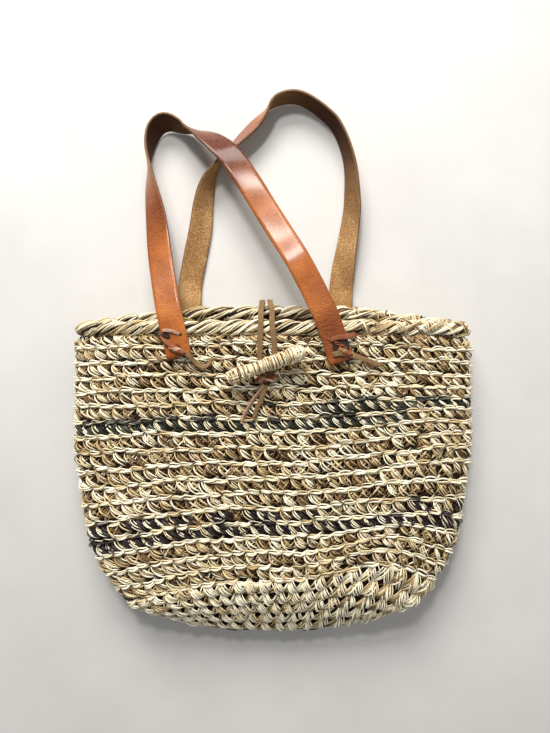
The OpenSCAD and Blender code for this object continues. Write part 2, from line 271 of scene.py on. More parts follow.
# Tone of a strand to its colour
NATURAL = [(0.0, (0.022, 0.009, 0.003)), (0.22, (0.13, 0.062, 0.022)), (0.46, (0.44, 0.29, 0.125)),
           (0.70, (0.74, 0.60, 0.34)), (0.95, (0.95, 0.89, 0.69))]
CHARCOAL = [(0.1, (0.007, 0.006, 0.004)), (0.5, (0.030, 0.029, 0.019)), (0.8, (0.10, 0.097, 0.068)),
            (0.98, (0.45, 0.44, 0.34))]
BROWN = [(0.1, (0.008, 0.005, 0.005)), (0.5, (0.026, 0.015, 0.014)), (0.8, (0.07, 0.042, 0.04)),
         (0.98, (0.30, 0.22, 0.19))]
# The last colour of each straw is the painted groove shade multiplied into its streaks.
STRAW = straw_material("straw_natural", NATURAL, (0.42, 0.30, 0.18))
STRAW_CHARCOAL = straw_material("straw_charcoal", CHARCOAL, (0.35, 0.35, 0.35))
STRAW_BROWN = straw_material("straw_brown", BROWN, (0.35, 0.3, 0.3))
LEATHER = leather_material()
LACE = lace_material("lace_suede", (0.37, 0.228, 0.100), (0.15, 0.085, 0.034))
LACE_PALE = lace_material("lace_pale", (0.64, 0.42, 0.30), (0.34, 0.18, 0.11))
LACE_RED = lace_material("lace_red", (0.40, 0.135, 0.058), (0.15, 0.042, 0.020))
# Near-black suede for plates that stand for the shade inside the straps' holes: painted shade.
HOLE_SHADE = lace_material("lace_hole_shade", (0.050, 0.022, 0.012), (0.012, 0.006, 0.004))

# ---------------------------------------------------------------- the bag's surface

BAG_HALF_W = 187.5
RIM_H = 46.0
BELLY_H = 6.0
PITCH = 13.5
FIRST_RIDGE_Y = 14.0
RIM_Y = 20.0
BACK_RISE = 16.0
BASE_ROUND = 16
BASE_L = 56.0
FOLD_Z = 9.0
SQUARENESS = 2.9
FLATTEN = 1.6
WALL_T = 9.0
BASE_Y = FIRST_RIDGE_Y - BASE_ROUND * PITCH
# How deep the strands' middles lie under the CAD skin, so that their tops end up on it
SINK = 2.2


def smooth(t):
    t = np.clip(t, 0, 1)
    return t * t * (3 - 2 * t)


def signed_pow(v, e):
    return np.sign(v) * np.abs(v) ** e


def unit(v):
    """Vectors along the last axis, at length one."""
    return v / np.maximum(np.linalg.norm(v, axis=-1, keepdims=True), 1e-9)


def level(m):
    """Half width, top, bottom and drop of the ends of the section whose middle lies at y = m."""
    wall = np.maximum(m, BASE_Y)
    n = (FIRST_RIDGE_Y - wall) / PITCH
    t = np.clip((BASE_Y - m) / BASE_L, 0, 1)
    half_w = BAG_HALF_W - 14 * smooth((n - 6) / 7) - 35 * np.maximum(0, (n - 11) / 5) ** 1.7
    half_w = half_w - 48 * t ** 1.2
    belly = BELLY_H * smooth((RIM_Y - wall) / 150)
    top = RIM_H + belly - 4.5 * smooth((n - 13) / 4) - 25.5 * t ** 1.5
    drop = (6 + 20 * smooth((n - 5) / 9)) * (1 - t) - 9 * t
    return half_w, top, FOLD_Z * t ** 2, drop


def section(m, a, inset=0.0, dy=0.0):
    """Point of the section at angle a: 180 is the left side, 90 the front, 0 the right side."""
    across = signed_pow(np.cos(a), 2 / SQUARENESS)
    side = signed_pow(np.sin(a), 2 / SQUARENESS)
    half_w, top, bottom, drop = level(m)
    middle, half = (top + bottom) / 2, (top - bottom) / 2
    x = across * (half_w - inset)
    y = m - drop * np.abs(across) ** 2.2 + dy
    rise = BACK_RISE * smooth((m + 60) / 80) * smooth((1 - side) / 2)
    y = y + rise * (1 - np.abs(across) ** 2.4)
    z = middle - FLATTEN * (side < 0) + side * (half - inset)
    z = np.maximum(bottom + np.maximum(inset, 0), z)
    return np.stack([x, y, z], -1)


# Angle as a function of the distance along a middle section, so stitches are evenly spaced
_angles = np.linspace(math.pi, -math.pi, 1441)
_ring = section(np.full_like(_angles, -90.0), _angles)
_steps = np.linalg.norm(np.diff(_ring, axis=0), axis=1)
_along = np.concatenate([[0], np.cumsum(_steps)]) / _steps.sum()


def angle_at(q):
    return np.interp(np.mod(q, 1.0), _along, _angles)


def shifted(m, a):
    """The right side of the bag lies pushed up: its rounds sit higher there."""
    across = signed_pow(np.cos(a), 2 / SQUARENESS)
    n = (FIRST_RIDGE_Y - m) / PITCH
    push = 21 * smooth(n / 9) * smooth((across - 0.05) / 0.95)
    hump = 12 * np.exp(-(((across - 0.62) / 0.24) ** 2)) * smooth((n - 11) / 5) * (np.sin(a) > 0)
    towards_fold = np.clip((BASE_Y - m) / BASE_L, 0, 1)
    return m + (push + hump) * (1 - towards_fold)


def on_bag(m, q, inset=SINK):
    """The layer that strands lie on, a little under the CAD skin."""
    a = angle_at(q)
    return section(shifted(m, a), a, inset)


def frame_on(surface, m, q, dm=0.8, dq=0.0008):
    """Point and outward normal, from differences over dm and dq."""
    along = surface(m, q + dq) - surface(m, q - dq)
    up = surface(m + dm, q) - surface(m - dm, q)
    return surface(m, q), unit(np.cross(along, up))


def row_length(m):
    q = np.linspace(0, 1, 361)
    return np.linalg.norm(np.diff(on_bag(np.full_like(q, m), q), axis=0), axis=1).sum()



# ---------------------------------------------------------------- strands

SIDES = 6
FLOOR_GAP = 0.15
# The ends of the back strap, which the bag lies on
BACK_STRAP_X = (-83.0, 67.0)
BACK_STRAP_TOP = 5.2
BACK_STRAP_REACH = 12.2
BACK_STRAP_END_Y = 14.0
# The toggle: its stem, its height and the room that its winding needs round it
STEM = (-6.0, -6.0)
TOGGLE_Z = 60.7
TOGGLE_REACH = 41.0
TOGGLE_ROOM = 7.9
FRONT_WALL_Z = 40.0
NO_LIMIT = 1e3


def highest(x, y, z):
    """The toggle turns just over the front wall, so the strands within its reach stay flat."""
    under = (np.hypot(x - STEM[0], y - STEM[1]) < TOGGLE_REACH) & (z > FRONT_WALL_Z)
    return np.where(under, TOGGLE_Z - TOGGLE_ROOM, NO_LIMIT)


def lowest(x, y):
    """Height that the bag's underside keeps: the floor, or the strap end that lies under it."""
    low = np.full(x.shape, FLOOR_GAP)
    for strap_x in BACK_STRAP_X:
        over = (np.abs(x - strap_x) < BACK_STRAP_REACH) & (y > BACK_STRAP_END_Y)
        low[over] = BACK_STRAP_TOP
    return low


def set_uv(mesh, name, values):
    layer = mesh.uv_layers.new(name=name)
    layer.data.foreach_set("uv", np.asarray(values, np.float32).ravel())


def set_attribute(mesh, name, values):
    layer = mesh.attributes.new(name, "FLOAT", "POINT")
    layer.data.foreach_set("value", np.asarray(values, np.float32).ravel())


def quad_uvs(u0, u1, v0, v1):
    """UVs of every quad's corners, in the order of its vertices."""
    corners = [np.stack(pair, -1) for pair in ((u0, v0), (u0, v1), (u1, v1), (u1, v0))]
    return np.stack(corners, 3).reshape(-1, 2)


def tube_faces(shape, first):
    """Quads round the tubes of a batch and the caps at their ends, from vertex `first` on."""
    s, r, k, _ = shape
    start = first + np.arange(s)[:, None, None] * r * k
    ring = start + np.arange(r - 1)[None, :, None] * k
    i = np.arange(k)[None, None, :]
    j = (i + 1) % k
    quads = np.stack([ring + i, ring + j, ring + k + j, ring + k + i], -1).reshape(-1, 4)
    near_caps = start[:, 0] + np.arange(k)[::-1][None]
    far_caps = start[:, 0] + (r - 1) * k + np.arange(k)
    return quads, np.concatenate([near_caps, far_caps])


def strand_uvs(shape, along):
    """u is the distance along the strand, v goes round it from an offset of its own."""
    s, r, k, _ = shape
    u0 = np.broadcast_to(along[:, :-1, None], (s, r - 1, k))
    u1 = np.broadcast_to(along[:, 1:, None], (s, r - 1, k))
    v0 = np.broadcast_to(np.arange(k) / k + along[:, :1, None] % 37, (s, r - 1, k))
    ends = np.repeat(np.concatenate([along[:, 0], along[:, -1]]), k)
    return quad_uvs(u0, u1, v0, v0 + 1 / k), np.stack([ends, ends], -1)


def bake_uvs(shape, first, cells):
    """Every tube has a cell of its own in a square grid, with its caps at the cell's sides."""
    s, r, k, _ = shape
    pad = 0.12
    inner = 1 - 2 * pad
    cell = first + np.arange(s)[:, None, None]
    left, low = (cell % cells) / cells, (cell // cells) / cells
    i = np.arange(k)[None, None, :]
    u0 = left + (pad + inner * np.arange(r - 1)[None, :, None] / (r - 1)) / cells + 0 * i
    v0 = low + (pad + inner * i / k) / cells + 0 * u0
    quads = quad_uvs(u0, u0 + inner / (r - 1) / cells, v0, v0 + inner / k / cells)
    turn = np.arange(k) * 2 * math.pi / k
    small = 0.03 / cells * np.stack([np.cos(turn), np.sin(turn)], -1)[None]
    caps = [np.stack([left[:, 0] + at / cells, low[:, 0] + 0.5 / cells], -1) + small
            for at in (0.05, 0.95)]
    return quads, np.concatenate(caps).reshape(-1, 2)


class Strands:
    """Collects batches of tubes, then makes one mesh of them."""

    def __init__(self):
        self.batches = []

    def add(self, centres, radius, tone, flat=0.7, outward=(0, 0, 1.0), clamp=True):
        """centres [S, R, 3]; radius and tone [S, R]; flat is thickness over width."""
        s, r, _ = centres.shape
        tangent = unit(np.gradient(centres, axis=1))
        side = unit(np.cross(tangent, np.broadcast_to(outward, centres.shape)))
        lift = np.cross(side, tangent)
        turn = np.arange(SIDES) * 2 * math.pi / SIDES + math.pi / SIDES
        ring = (side[:, :, None] * np.cos(turn)[None, None, :, None]
                + lift[:, :, None] * np.sin(turn)[None, None, :, None] * flat)
        points = centres[:, :, None] + ring * radius[:, :, None, None]
        if clamp:
            x, y, z = points[..., 0], points[..., 1], points[..., 2]
            z = np.maximum(z, lowest(x, y))
            points[..., 2] = np.minimum(z, highest(x, y, z))
        length = np.linalg.norm(np.diff(centres, axis=1), axis=2)
        along = np.concatenate([np.zeros((s, 1)), np.cumsum(length, 1)], 1)
        along += rng.uniform(0, 900, (s, 1))
        self.batches.append((points, along, np.broadcast_to(tone, (s, r))))

    def build(self, name, material):
        cells = math.ceil(math.sqrt(sum(len(points) for points, _, _ in self.batches)))
        quads, caps, strand, bake = [], [], [[], []], [[], []]
        vertices = tubes = 0
        for points, along, _ in self.batches:
            for faces, found in zip((quads, caps), tube_faces(points.shape, vertices)):
                faces.append(found)
            for uvs, found in zip(strand, strand_uvs(points.shape, along)):
                uvs.append(found)
            for uvs, found in zip(bake, bake_uvs(points.shape, tubes, cells)):
                uvs.append(found)
            vertices += points.size // 3
            tubes += len(points)
        quads, caps = np.concatenate(quads), np.concatenate(caps)
        mesh = bpy.data.meshes.new(name)
        mesh.vertices.add(vertices)
        points = np.concatenate([points.reshape(-1, 3) for points, _, _ in self.batches])
        mesh.vertices.foreach_set("co", (points * MM).astype(np.float32).ravel())
        loops = np.concatenate([quads.ravel(), caps.ravel()])
        mesh.loops.add(len(loops))
        mesh.loops.foreach_set("vertex_index", loops.astype(np.int32))
        sizes = np.concatenate([np.full(len(quads), 4), np.full(len(caps), SIDES)]).astype(np.int32)
        starts = np.concatenate([[0], np.cumsum(sizes)[:-1]]).astype(np.int32)
        mesh.polygons.add(len(sizes))
        mesh.polygons.foreach_set("loop_start", starts)
        mesh.polygons.foreach_set("loop_total", sizes)
        mesh.update(calc_edges=True)
        set_uv(mesh, "Strand", np.concatenate(strand[0] + strand[1]))
        set_uv(mesh, "OFBake", np.concatenate(bake[0] + bake[1]))
        tones = [np.repeat(tone.reshape(-1), SIDES) for _, _, tone in self.batches]
        set_attribute(mesh, "tone", np.concatenate(tones))
        mesh.polygons.foreach_set("use_smooth", np.ones(len(sizes), bool))
        mesh.validate()
        mesh.materials.append(material)
        return add_object(name, mesh)


def spread(count, low, high):
    return rng.uniform(low, high, count)


def taper(t, ends, power=2.2):
    """Radius along a strand: full in the middle, `ends` at both tips."""
    return ends + (1 - ends) * (1 - np.abs(2 * t - 1) ** power)


def arch(t):
    """Rises from 0 to 1 and falls back to 0 as t goes from 0 to 1."""
    return np.sin(math.pi * t)


# ---------------------------------------------------------------- crochet rounds

STITCH = 11.6
STITCH_SCATTER = 0.05

# Kinds of bundle in a stitch. width is the bundle's and radius a strand's, twist is in radians
# along it, jitter is in mm, wild is the share of strands that stand off, mottle and spread are the
# scatter of tone from strand to strand and from stitch to stitch
Bundle = namedtuple(
    "Bundle", "strands width radius rings flat twist jitter wild mottle tone spread", defaults=(0, 0))
RIDGE = Bundle(3, 2.5, 0.74, 8, 0.8, 2.6, 0.38, 0.14, 0.15)
RIDGE_FINE = Bundle(2, 3.2, 0.46, 8, 0.8, 2.2, 0.5, 0.15, 0.15)
# Darker strands tucked under each ridge: painted shade beneath it.
RIDGE_PAINTED_SHADE = Bundle(2, 1.6, 0.62, 8, 0.8, 0.0, 0.4, 0.0, 0.11)
RIDGE_FLECK = Bundle(3, 3.2, 0.36, 8, 0.8, 3.0, 0.5, 0.0, 0.11, 0.9)
LEG = Bundle(5, 5.2, 0.66, 7, 0.8, 0.0, 0.75, 0.14, 0.27, 0.60, 0.17)
# Cross legs lie behind the legs, and their lower tone is painted shade.
CROSS = Bundle(5, 6.2, 0.66, 6, 0.8, 0.0, 0.75, 0.18, 0.22, 0.36, 0.14)
# The filler kinds, near-black in natural yarn and dark in the coloured yarns, lie deep in the gaps as
# painted shade.
NATURAL_SHADE_FILLER = Bundle(3, 8.0, 0.7, 5, 0.7, 0.0, 1.0, 0.0, 0.14, 0.06)
LEG_OVER_DARK = Bundle(3, 2.8, 0.55, 7, 0.8, 0.0, 0.5, 0.12, 0.11, 0.84, 0.08)
DARK_LEG = Bundle(5, 5.0, 0.66, 7, 0.75, 0.0, 0.4, 0.14, 0.11, 0.42, 0.14)
DARK_CROSS = Bundle(5, 6.2, 0.74, 6, 0.75, 0.0, 0.5, 0.10, 0.11, 0.46, 0.16)
DARK_SHADE_FILLER = Bundle(3, 8.0, 0.9, 5, 0.7, 0.0, 0.9, 0.0, 0.11, 0.3)
BASE_SHADE_FILLER = Bundle(3, 5.0, 0.8, 5, 0.7, 0.0, 0.8, 0.0, 0.12, 0.06)
# Painted light: the left arm of each V is toned lighter as a highlight, the right arm darker as shade.
RIGHT_ARM = Bundle(7, 7.4, 0.60, 7, 0.8, 0.0, 0.55, 0.18, 0.20, 0.66, 0.17)
LEFT_ARM = Bundle(7, 7.2, 0.62, 7, 0.8, 0.0, 0.55, 0.18, 0.18, 0.94, 0.14)


class Row:
    """One round of stitches: where on the surface each of them is."""

    def __init__(self, m0, offset, waver, stitch=STITCH):
        self.length = row_length(m0)
        self.count = max(8, round(self.length / stitch))
        self.pitch = self.length / self.count
        scatter = rng.normal(0, STITCH_SCATTER, self.count)
        self.q = (np.arange(self.count) + offset) / self.count + scatter / self.count
        self.m = m0 + rng.normal(0, waver, self.count)

    def lay(self, strands, kind, path, tone=None, surface=on_bag, chosen=slice(None), shift=0.0):
        """One bundle in each chosen stitch. path(t, pitch) gives offsets along, up and out."""
        if tone is None:
            tone = rng.normal(kind.tone, kind.spread, self.count) if kind.spread else kind.tone
        q, m = (self.q + shift)[chosen, None], self.m[chosen, None]
        tone = np.broadcast_to(tone, self.q.shape)[chosen, None]
        count = len(q)
        if count == 0:
            return
        t = np.linspace(0, 1, kind.rings)
        along, up, out = path(t, self.pitch)
        sway = np.gradient(along), np.gradient(up)
        norm = np.hypot(*sway) + 1e-9
        across = -sway[1] / norm, sway[0] / norm
        for k in range(kind.strands):
            place = (k - (kind.strands - 1) / 2) / (kind.strands - 1)
            if kind.twist:
                phase = place * 2.4 + kind.twist * (t - 0.5) + k * 2 * math.pi / kind.strands
                off = kind.width / 2 * np.sin(phase)
                rise = kind.radius * 0.55 * np.cos(phase)
            else:
                off = place * kind.width * (0.55 + 0.45 * arch(t))
                rise = -abs(place) * kind.radius * 0.9 * np.ones_like(t)
            j = rng.normal(0, kind.jitter, (count, 4))
            scale = 1 + rng.normal(0, 0.07, (count, 1))
            ds = along * scale + across[0] * off + j[:, :1] + j[:, 2:3] * (t - 0.5)
            dm = up * scale + across[1] * off + j[:, 1:2] * 0.8 + j[:, 3:4] * (t - 0.5)
            stray = rng.uniform(0, 1, (count, 1)) < kind.wild
            loose = stray * rng.uniform(0.5, 2.0, (count, 1))
            dh = out + rise + rng.normal(0, 0.18, (count, 1)) + loose * arch(t)
            p, normal = frame_on(surface, m + dm, q + ds / self.length)
            radius = kind.radius * taper(t, 0.45) * np.exp(rng.normal(0, 0.16, (count, 1)))
            shade = tone + rng.normal(0, kind.mottle, (count, 1)) + 0.03 * arch(t)
            strands.add(p + normal * dh[..., None], radius, shade, kind.flat, normal)


# The last round of each CAD section of the wall
SECTIONS = [(4, "wall_upper"), (6, "stripe_charcoal"), (11, "wall_middle"), (13, "stripe_brown"),
            (16, "wall_lower")]


def section_of(n):
    for last, name in SECTIONS:
        if n < last:
            return name
    return "base_rounds"


def dark_yarn(n, x, q):
    """Yarn of the band below ridge n, and which stitches have it: the spiral steps by a round."""
    front = np.mod(q, 1.0) < 0.5
    chance = rng.uniform(0, 1, len(x))
    if n == 4:
        begun = (x > -8) & (chance < 0.45 + 0.5 * smooth((x - 20) / 60))
        return "charcoal", np.where(front, begun, True)
    if n == 5:
        return "charcoal", np.where(front, x < 118, False)
    if n == 11:
        return "brown", front & (((x < 40) & (chance < 0.75)) | ((x > 110) & (chance < 0.5)))
    if n == 12:
        return "brown", np.ones_like(x, bool)
    return None, np.zeros_like(x, bool)


def ridge_yarn(n, x, q):
    """Where the ridge itself is worked in the dark yarn."""
    yarn, dark = dark_yarn(n, x, q)
    share = {4: 0.35, 5: 0.6, 11: 0.12, 12: 0.2}.get(n, 0)
    return yarn, dark & ((rng.uniform(0, 1, len(x)) < share) | ((n == 12) & (x < -140)))


def under_rope(m, q):
    """The band between the rope and the first ridge, squeezed to the height that shows there."""
    across = np.abs(signed_pow(np.cos(angle_at(q)), 2 / SQUARENESS))
    height = 8.0 + 6.0 * across ** 2.2
    return on_bag(FIRST_RIDGE_Y + (m - FIRST_RIDGE_Y) * height / PITCH, q)


def ridge(t, p):
    return ((t - 0.5) * 1.40 * p, -2.3 + 4.6 * t + 1.3 * np.sin(2 * math.pi * t),
            -2.8 + 6.0 * arch(np.clip(t * 1.10, 0, 1)) ** 0.9)


def ridge_underside(t, p):
    along, up, out = ridge(t, p)
    return along + 1.6, up - 1.9, out - 1.0


def leg(t, p):
    """Leans left from one ridge to the next."""
    return (-0.46 * p + 0.86 * p * t ** 1.5, -2.2 - (PITCH - 3.6) * t ** 0.85,
            -1.9 + 4.2 * arch(np.clip(0.1 + 0.86 * t, 0, 1)) ** 0.8)


def cross(t, p):
    """Leans right behind the legs; its lower tone is painted shade."""
    return (-0.50 * p + 0.80 * p * t ** 1.2, -PITCH + 1.4 + (PITCH - 4.0) * t ** 0.9,
            -1.9 + 3.0 * arch(np.clip(t * 1.05, 0, 1)))


def shade_filler(t, p):
    """Dark strands deep between the ridges: painted shade in the gaps."""
    return (t - 0.5) * 0.9 * p, -PITCH * 0.5 + 2.4 * np.sin(3 * t) - 1.0, -2.3 + 0.5 * arch(t)


def crochet_wall(yarns):
    """Round by round: a raised ridge, bright legs leaning left and legs leaning right behind them, painted
    darker as shade; dark strands under the ridges and deep between them are painted shade too.
    """
    for n in range(-1, BASE_ROUND + 1):
        row = Row(FIRST_RIDGE_Y - n * PITCH, 0.37 * n, 0.5)
        row.m = row.m + 1.1 * np.sin(row.q * 40 + n * 1.7) + 0.8 * np.sin(row.q * 93 + n * 2.9)
        x = on_bag(row.m, row.q)[..., 0]
        part = max(n, 0)
        place = section_of(part)
        natural = yarns[place, "natural", part]
        if n >= 0:
            yarn, flecked = ridge_yarn(n, x, row.q)
            coloured = yarns[place, yarn, part]
            for strands, chosen, tone in ((natural, ~flecked, 0.88), (coloured, flecked, 0.50)):
                tones = rng.normal(tone, 0.11, row.count)
                row.lay(strands, RIDGE, ridge, tones, chosen=chosen)
                row.lay(strands, RIDGE_FINE, ridge, tones + 0.10, chosen=chosen)
                # Painted shade: the underside strands are 0.52 darker than the ridge above them.
                row.lay(strands, RIDGE_PAINTED_SHADE, ridge_underside, tones - 0.52, chosen=chosen)
            row.lay(natural, RIDGE_FLECK, ridge, chosen=flecked)
        if n == BASE_ROUND:
            break
        surface = under_rope if n < 0 else on_bag
        yarn, dark = dark_yarn(n, x, row.q)
        row.lay(natural, LEG, leg, surface=surface, chosen=~dark)
        row.lay(natural, CROSS, cross, surface=surface, chosen=~dark)
        row.lay(natural, NATURAL_SHADE_FILLER, shade_filler, surface=surface, chosen=~dark)
        if dark.any():
            coloured = yarns[place, yarn, part]
            row.lay(natural, LEG_OVER_DARK, leg, chosen=dark)
            half_stitch = 0.46 * row.pitch / row.length
            row.lay(coloured, DARK_LEG, leg, chosen=dark, shift=half_stitch)
            row.lay(coloured, DARK_CROSS, cross, chosen=dark)
            row.lay(coloured, DARK_SHADE_FILLER, shade_filler, chosen=dark)


BASE_ROWS = 5
BASE_ROW = 11.2
BASE_STITCH = 13.8


def left_arm(t, p):
    return (-0.58 * p + 0.66 * p * t ** 1.5, 3.4 - 13.2 * t, -2.2 + 6.2 * arch(0.06 + 0.86 * t))


def right_arm(t, p):
    return (0.54 * p - 0.56 * p * t ** 1.3, 2.6 - 11.6 * t, -2.4 + 5.4 * arch(0.06 + 0.86 * t))


# Near-black strands deep between the base rounds: painted shade.
def base_shade_filler(t, p):
    return (t - 0.5) * 1.1 * p, -BASE_ROW * 0.85 + 2.0 * np.sin(3 * t), -1.2 + 0.8 * arch(t)


def crochet_base(yarns):
    """Plump rounds without ridges: each stitch is a V of two fanned arms."""
    for i in range(BASE_ROWS):
        row = Row(BASE_Y - 3.2 - i * BASE_ROW, 0.5 * i, 0.4, BASE_STITCH)
        strands = yarns["base_rounds", "natural", i // 2]
        row.lay(strands, BASE_SHADE_FILLER, base_shade_filler)
        row.lay(strands, RIGHT_ARM, right_arm)
        row.lay(strands, LEFT_ARM, left_arm)


def base_fold(strands):
    """Loops over the folded edge, from the front wall round to the back."""
    m = BASE_Y - BASE_L
    half_w, top, bottom, _ = (float(v) for v in level(m))
    count = 150
    x = np.linspace(-half_w + 3, half_w - 3, count) + rng.normal(0, 0.5, count)
    t = np.linspace(0, 1, 8)
    turn = math.pi * (0.06 + 0.88 * t)
    lean = rng.choice([-2.6, 2.2, 3.4], count)[:, None]
    bulge = 3.4 + rng.normal(0, 0.5, (count, 1))
    edge = np.abs(x / half_w)
    y = m + 9 * edge ** 2.2 + 1.6
    half = (top - bottom) / 2 - SINK + 1.2 - 3.5 * edge ** 8
    centres = np.stack([x[:, None] + lean * (t - 0.5), y[:, None] - bulge * np.sin(turn),
                        (top + bottom) / 2 + half[:, None] * np.cos(turn)], -1)
    out = np.stack([0 * turn, -np.sin(turn), np.cos(turn)], -1)
    tone = rng.normal(0.82, 0.16, (count, 1))
    strands.add(centres, 0.78 * taper(t, 0.5) * np.ones((count, 1)), tone, 0.75, out)


# ---------------------------------------------------------------- rim rope

ROPE_R = 8.1
ROPE_UP = 8.8
ROPE_IN = 6.4
ROPE_SEAM = math.radians(-90)
RINGS_ROUND_ROPE = 24
RIGHT_CROSSING_X = 75.0


def rope_frame(q):
    """Centre of the rim rope with its outward and upward directions."""
    a = angle_at(q)
    m = np.full_like(a, RIM_Y)
    wave = 0.8 * np.sin(q * 61) + 0.5 * np.sin(q * 143 + 1)
    raised = 5.0 * np.abs(signed_pow(np.cos(a), 2 / SQUARENESS)) ** 2.2
    centre = section(m, a, ROPE_IN, ROPE_UP + wave * 0.6 + raised)
    ahead = section(m, angle_at(q + 0.002), ROPE_IN, ROPE_UP)
    behind = section(m, angle_at(q - 0.002), ROPE_IN, ROPE_UP)
    along = unit(ahead - behind)
    up = np.broadcast_to(np.array([0, 1.0, 0]), along.shape)
    up = unit(up - along * np.sum(up * along, -1, keepdims=True))
    outward = np.cross(along, up)
    centre[..., 2] = np.maximum(centre[..., 2], ROPE_R + 0.2)
    return centre, outward, up


def wrap_rope(pitch, per_bundle, advance, radius, tone, lift, gap, mess=0.0, beyond=-NO_LIMIT):
    """Bundles of strands wound once round the rope; their ends meet on the wall, under the rope.

    Only bundles right of x = `beyond` are made. The back rope is looser, so its bundles snake
    and ride over each other like a braid.
    """
    q = np.linspace(0, 1, 361)
    length = np.linalg.norm(np.diff(rope_frame(q)[0], axis=0), axis=1).sum()
    bundle_at = (np.arange(round(length / pitch)) + 0.5) * pitch
    bundle_at = bundle_at[rope_frame(bundle_at / length)[0][:, 0] > beyond]
    count = len(bundle_at)
    strands = Strands()
    bundle_at = bundle_at + rng.normal(0, 0.6, count)
    t = np.linspace(0, 1, RINGS_ROUND_ROPE)
    back = (np.mod(bundle_at / length, 1.0) > 0.5)[:, None]
    snake = np.where(back, 3.4, 1.1)
    over = np.where(back, 1.6, 1.1)
    every_other = np.where(np.arange(count)[:, None] % 2 == 0, 0.0, 2.2)
    snake_phase = every_other + rng.normal(0, 0.3, (count, 1))
    bundle_lean = rng.normal(0, 0.08 + mess * 0.2, (count, 1))
    bundle_tone = rng.normal(0, 0.07, (count, 1))
    for k in range(per_bundle):
        place = k - (per_bundle - 1) / 2
        base = bundle_at + place * gap + rng.normal(0, 0.35 + mess, count)
        phi = ROPE_SEAM + 2 * math.pi * t + rng.normal(0, 0.06 + 0.2 * mess, (count, 1))
        slope = advance * (1 + bundle_lean + rng.normal(0, 0.05, (count, 1)))
        wave = np.sin(2 * phi + snake_phase)
        wound = slope * (phi - ROPE_SEAM - math.pi) / (2 * math.pi)
        s = base[:, None] + wound + snake * wave
        centre, outward, up = rope_frame(s / length)
        body = ROPE_R - 1.6 + lift + over * np.cos(2 * phi + snake_phase) - 0.20 * place ** 2
        body = body + rng.normal(0, 0.22, (count, 1))
        stray = rng.uniform(0, 1, (count, 1)) < 0.08 + 0.2 * mess
        loose = stray * rng.uniform(0.4, 1.3, (count, 1))
        body = body + loose * arch(t)
        normal = outward * np.cos(phi)[..., None] + up * np.sin(phi)[..., None]
        strands.add(centre + normal * body[..., None],
                    radius * taper(t, 0.55) * np.exp(rng.normal(0, 0.15, (count, 1))),
                    tone + bundle_tone + rng.normal(0, 0.24, (count, 1)), 0.75, normal)
    return strands


# ---------------------------------------------------------------- ribbons: straps and laces


def grid_mesh(name, points, material, attributes, lengths=None):
    """A smooth mesh over points [U, V, 3], joined round V and capped at both ends of U.

    lengths gives the distance of each ring for the strand UVs.
    """
    u, v, _ = points.shape
    cells = [(i, j) for i in range(u - 1) for j in range(v)]
    faces = []
    for i, j in cells:
        a, b = i * v + j, i * v + (j + 1) % v
        faces.append((a, b, b + v, a + v))
    faces.append(tuple(range(v))[::-1])
    faces.append(tuple((u - 1) * v + k for k in range(v)))
    mesh = bpy.data.meshes.new(name)
    mesh.from_pydata((points.reshape(-1, 3) * MM).tolist(), [], faces)
    if lengths is not None:
        corners = ((0, 0), (0, 1), (1, 1), (1, 0))
        uvs = [(lengths[i + di], 2 * (j + dj)) for i, j in cells for di, dj in corners]
        set_uv(mesh, "Strand", uvs + [(0.0, 0.0)] * (2 * v))
    for label, values in attributes.items():
        set_attribute(mesh, label, values)
    mesh.polygons.foreach_set("use_smooth", np.ones(len(mesh.polygons), bool))
    mesh.materials.append(material)
    mesh.validate()
    mesh.update()
    return add_object(name, mesh)


def spline(points, step):
    """Catmull-Rom through rows of numbers, resampled about every `step` mm."""
    p = np.array(points, float)
    p = np.vstack([2 * p[0] - p[1], p, 2 * p[-1] - p[-2]])
    out = []
    for i in range(1, len(p) - 2):
        n = max(2, int(np.linalg.norm(p[i + 1, :3] - p[i, :3]) / step))
        for t in np.arange(n) / n:
            a, b, c, d = p[i - 1], p[i], p[i + 1], p[i + 2]
            out.append(0.5 * (2 * b + (c - a) * t + (2 * a - 5 * b + 4 * c - d) * t * t
                              + (3 * b - a - 3 * c + d) * t ** 3))
    out.append(p[-2])
    return np.array(out)


def ribbon_frames(route):
    centre = route[:, :3]
    tangent = unit(np.gradient(centre, axis=0))
    level_side = unit(np.cross(tangent, UP))
    level_up = np.cross(level_side, tangent)
    roll = np.radians(route[:, 3])[:, None]
    side = level_side * np.cos(roll) + level_up * np.sin(roll)
    up = level_up * np.cos(roll) - level_side * np.sin(roll)
    return centre, side, up


def ribbon_profile(width, thick, across):
    """Closed outline of a strap's section: grain side first, then the flesh side back.

    The second array says of each point how far it is on the grain side and on a cut edge.
    """
    w, h = width / 2, thick / 2
    bevel = min(0.35 * h, 0.5)
    top = [(x, h) for x in np.linspace(-w + bevel, w - bevel, across)]
    right = [(w, h - bevel), (w, -h + bevel)]
    low = [(x, -h) for x in np.linspace(w - bevel, -w + bevel, across)]
    left = [(-w, -h + bevel), (-w, h - bevel)]
    kinds = [(1, 0)] * across + [(1, 1), (0, 1)] + [(0, 0)] * across + [(0, 1), (1, 1)]
    return np.array(top + right + low + left), np.array(kinds, float)


